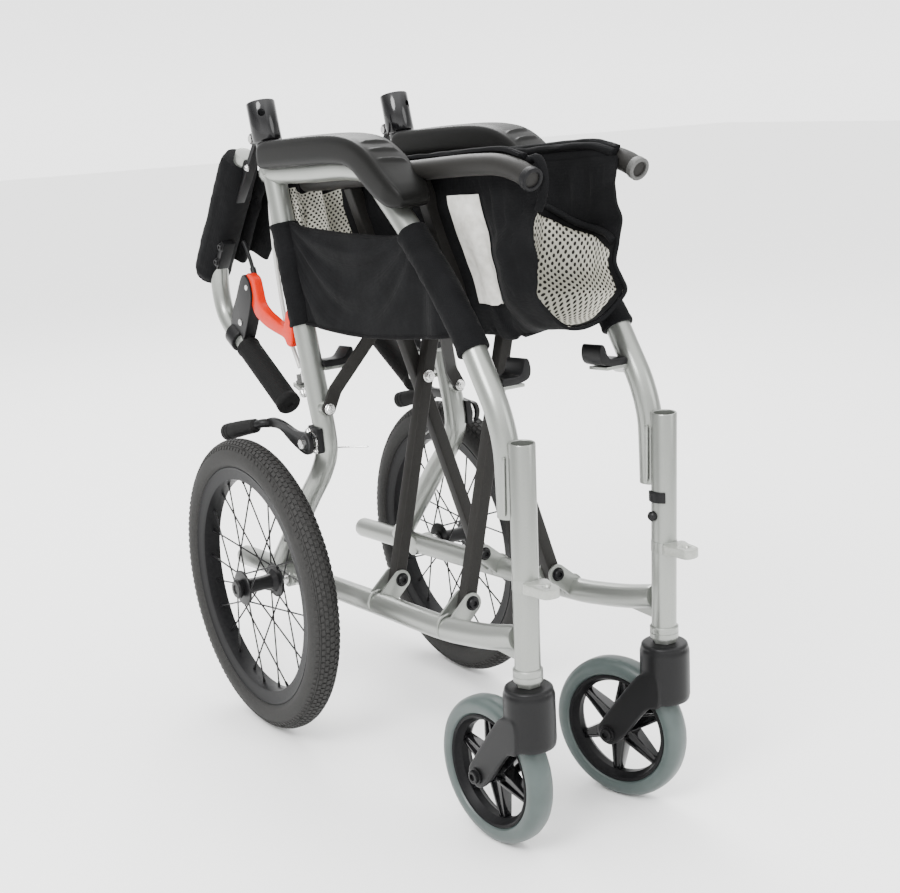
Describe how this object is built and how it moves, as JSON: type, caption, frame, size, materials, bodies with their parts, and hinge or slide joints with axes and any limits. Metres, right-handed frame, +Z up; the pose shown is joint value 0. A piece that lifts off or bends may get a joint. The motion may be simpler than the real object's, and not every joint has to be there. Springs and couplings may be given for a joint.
{
  "type": "transport wheelchair",
  "caption": "Folding transport wheelchair shown folded: tube side frames, cross braces, spoked rear wheels, swivel casters, sling seat and fold-down push canes.",
  "frame": {"origin": "on the floor, under the middle of the folded chair", "axes": "+Z up, the chair faces -Y, the user's left is +X"},
  "size_m": [0.344, 0.687, 0.7388],
  "materials": {
    "frame": "silver paint",
    "brace": "anthracite satin paint",
    "black_plastic": "moulded",
    "gloss_black": "gloss",
    "tyre": "ribbed rubber",
    "grey_tyre": "grey polyurethane on a black wheel",
    "fabric": "woven nylon",
    "mesh": "spacer mesh",
    "arm_pad": "self-skinned foam",
    "orange": "gloss",
    "steel": "zinc plated",
    "foam": "ribbed grip",
    "cable": "cable"
  },
  "bodies": {
    "right_side": {"right_rear_frame": "frame", "right_arm_tube": "frame", "right_caster_tube": "frame", "right_armrest_pad": "arm_pad", "right_side_panel": "fabric", "right_seat_saddle": "black_plastic", "right_rear_axle": "steel", "right_hinge_socket": "gloss_black", "right_brake_cable_lower": "cable", "pivot_bolt_right_rear": "steel", "pivot_bolt_right_front": "steel", "lower_back_panel": "mesh"},
    "brace_a": {"brace_a_rear_strut": "brace", "brace_a_front_strut": "brace", "crossing_pin_rear": "steel", "crossing_pin_front": "steel", "left_seat_tube": "brace"},
    "brace_b": {"brace_b_rear_strut": "brace", "brace_b_front_strut": "brace", "right_seat_tube": "brace"},
    "left_side": {"left_rear_frame": "frame", "left_arm_tube": "frame", "left_caster_tube": "frame", "left_armrest_pad": "arm_pad", "left_side_panel": "fabric", "left_seat_saddle": "black_plastic", "left_rear_axle": "steel", "left_hinge_socket": "gloss_black", "left_brake_cable_lower": "cable", "pivot_bolt_left_rear": "steel", "pivot_bolt_left_front": "steel"},
    "right_link": {"right_lift_link": "brace"},
    "left_link": {"left_lift_link": "brace"},
    "seat_left_half": {"seat_sling_left": "fabric"},
    "seat_right_half": {"seat_sling_right": "fabric"},
    "lower_back": {"lower_back_hem": "mesh"},
    "upper_back": {"upper_back_hem": "fabric"},
    "right_cane": {"right_back_cane": "frame", "right_cane_cover": "fabric", "right_grip": "foam", "right_brake_bracket": "black_plastic", "right_brake_cable_upper": "cable", "upper_back_panel": "fabric"},
    "right_brake": {"right_brake_lever": "orange"},
    "right_parking": {"right_parking_lever": "black_plastic"},
    "right_caster": {"right_caster_fork": "black_plastic"},
    "right_caster_roll": {"right_caster_wheel": "grey_tyre"},
    "right_wheel": {"right_rear_tyre": "tyre", "right_rear_wheel": "gloss_black"},
    "left_cane": {"left_back_cane": "frame", "left_cane_cover": "fabric", "left_grip": "foam", "left_brake_bracket": "black_plastic", "left_brake_cable_upper": "cable"},
    "left_brake": {"left_brake_lever": "orange"},
    "left_parking": {"left_parking_lever": "black_plastic"},
    "left_caster": {"left_caster_fork": "black_plastic"},
    "left_caster_roll": {"left_caster_wheel": "grey_tyre"},
    "left_wheel": {"left_rear_tyre": "tyre", "left_rear_wheel": "gloss_black"}
  },
  "joints": [
    {"name": "fold", "type": "hinge", "parent": "right_side", "child": "brace_a", "pos_m": [-0.0615, 0.11575, 0.20481], "axis": [0, 0.9976, -0.0692], "range_deg": [0, 40.6]},
    {"name": "brace_cross", "type": "hinge", "parent": "brace_a", "child": "brace_b", "pos_m": [0, 0.13086, 0.42248], "axis": [0, 0.9976, -0.0692], "range_deg": [-81.21, 0]},
    {"name": "left_side_hinge", "type": "hinge", "parent": "brace_b", "child": "left_side", "pos_m": [0.0615, 0.11575, 0.20481], "axis": [0, 0.9976, -0.0692], "range_deg": [0, 40.61]},
    {"name": "right_link_pivot", "type": "hinge", "parent": "right_side", "child": "right_link", "pos_m": [-0.088, 0.12888, 0.39395], "axis": [0, 0.9976, -0.0692], "range_deg": [0, 67.41]},
    {"name": "left_link_pivot", "type": "hinge", "parent": "left_side", "child": "left_link", "pos_m": [0.088, 0.12888, 0.39395], "axis": [0, 0.9976, -0.0692], "range_deg": [-67.41, 0]},
    {"name": "seat_left_hinge", "type": "hinge", "parent": "brace_a", "child": "seat_left_half", "pos_m": [0.052, 0.14617, 0.64305], "axis": [0, 0.9976, -0.0692], "range_deg": [0, 27.7]},
    {"name": "seat_valley_hinge", "type": "hinge", "parent": "seat_left_half", "child": "seat_right_half", "pos_m": [0, 0.13393, 0.46678], "axis": [0, 0.9976, -0.0692], "range_deg": [-136.63, 0], "deforming": ["seat_sling_right"]},
    {"name": "lower_back_spread", "type": "slide", "parent": "right_side", "child": "lower_back", "axis": [1, 0, 0], "range_m": [0, 0.2545], "deforming": ["lower_back_panel", "lower_back_hem"]},
    {"name": "upper_back_spread", "type": "slide", "parent": "right_cane", "child": "upper_back", "axis": [1, 0, 0], "range_m": [0, 0.2545]},
    {"name": "right_cane_hinge", "type": "hinge", "parent": "right_side", "child": "right_cane", "pos_m": [-0.088, 0.17524, 0.6948], "axis": [1, 0, 0], "range_deg": [0, 127.4]},
    {"name": "right_brake_hinge", "type": "hinge", "parent": "right_cane", "child": "right_brake", "pos_m": [-0.088, 0.22254, 0.522], "axis": [1, 0, 0], "range_deg": [0, 14], "stiffness_Nm_per_rad": 1.2, "springref_deg": -17.19},
    {"name": "right_parking_hinge", "type": "hinge", "parent": "right_side", "child": "right_parking", "pos_m": [-0.112, 0.06854, 0.362], "axis": [1, 0, 0], "range_deg": [0, 25]},
    {"name": "right_caster_swivel", "type": "hinge", "parent": "right_side", "child": "right_caster", "pos_m": [-0.0865, -0.29866, 0.185], "axis": [0, 0, 1], "continuous": true},
    {"name": "right_wheel_spin", "type": "hinge", "parent": "right_side", "child": "right_wheel", "pos_m": [-0.14, 0.16494, 0.1776], "axis": [1, 0, 0], "continuous": true},
    {"name": "right_caster_spin", "type": "hinge", "parent": "right_caster", "child": "right_caster_roll", "pos_m": [-0.09012, -0.24348, 0.0762], "axis": [0.9979, 0.0654, 0], "continuous": true},
    {"name": "left_cane_hinge", "type": "hinge", "parent": "left_side", "child": "left_cane", "pos_m": [0.088, 0.17524, 0.6948], "axis": [1, 0, 0], "range_deg": [0, 127.4]},
    {"name": "left_brake_hinge", "type": "hinge", "parent": "left_cane", "child": "left_brake", "pos_m": [0.088, 0.22254, 0.522], "axis": [1, 0, 0], "range_deg": [0, 14], "stiffness_Nm_per_rad": 1.2, "springref_deg": -17.19},
    {"name": "left_parking_hinge", "type": "hinge", "parent": "left_side", "child": "left_parking", "pos_m": [0.112, 0.06854, 0.362], "axis": [1, 0, 0], "range_deg": [0, 25]},
    {"name": "left_caster_swivel", "type": "hinge", "parent": "left_side", "child": "left_caster", "pos_m": [0.0865, -0.29866, 0.185], "axis": [0, 0, 1], "continuous": true},
    {"name": "left_wheel_spin", "type": "hinge", "parent": "left_side", "child": "left_wheel", "pos_m": [0.14, 0.16494, 0.1776], "axis": [1, 0, 0], "continuous": true},
    {"name": "left_caster_spin", "type": "hinge", "parent": "left_caster", "child": "left_caster_roll", "pos_m": [0.07048, -0.24573, 0.0762], "axis": [0.9571, 0.2897, 0], "continuous": true}
  ],
  "couplings": [
    {"joint": "brace_cross", "follows": "fold", "ratio": -2},
    {"joint": "left_side_hinge", "follows": "fold", "ratio": 1},
    {"joint": "right_link_pivot", "follows": "fold", "ratio": 1.66},
    {"joint": "left_link_pivot", "follows": "fold", "ratio": -1.66},
    {"joint": "seat_left_hinge", "follows": "fold", "ratio": 0.682},
    {"joint": "seat_valley_hinge", "follows": "fold", "ratio": -3.365},
    {"joint": "lower_back_spread", "follows": "fold", "m_per_rad": 0.35902},
    {"joint": "upper_back_spread", "follows": "fold", "m_per_rad": 0.35902},
    {"joint": "left_cane_hinge", "follows": "right_cane_hinge", "ratio": 1}
  ]
}
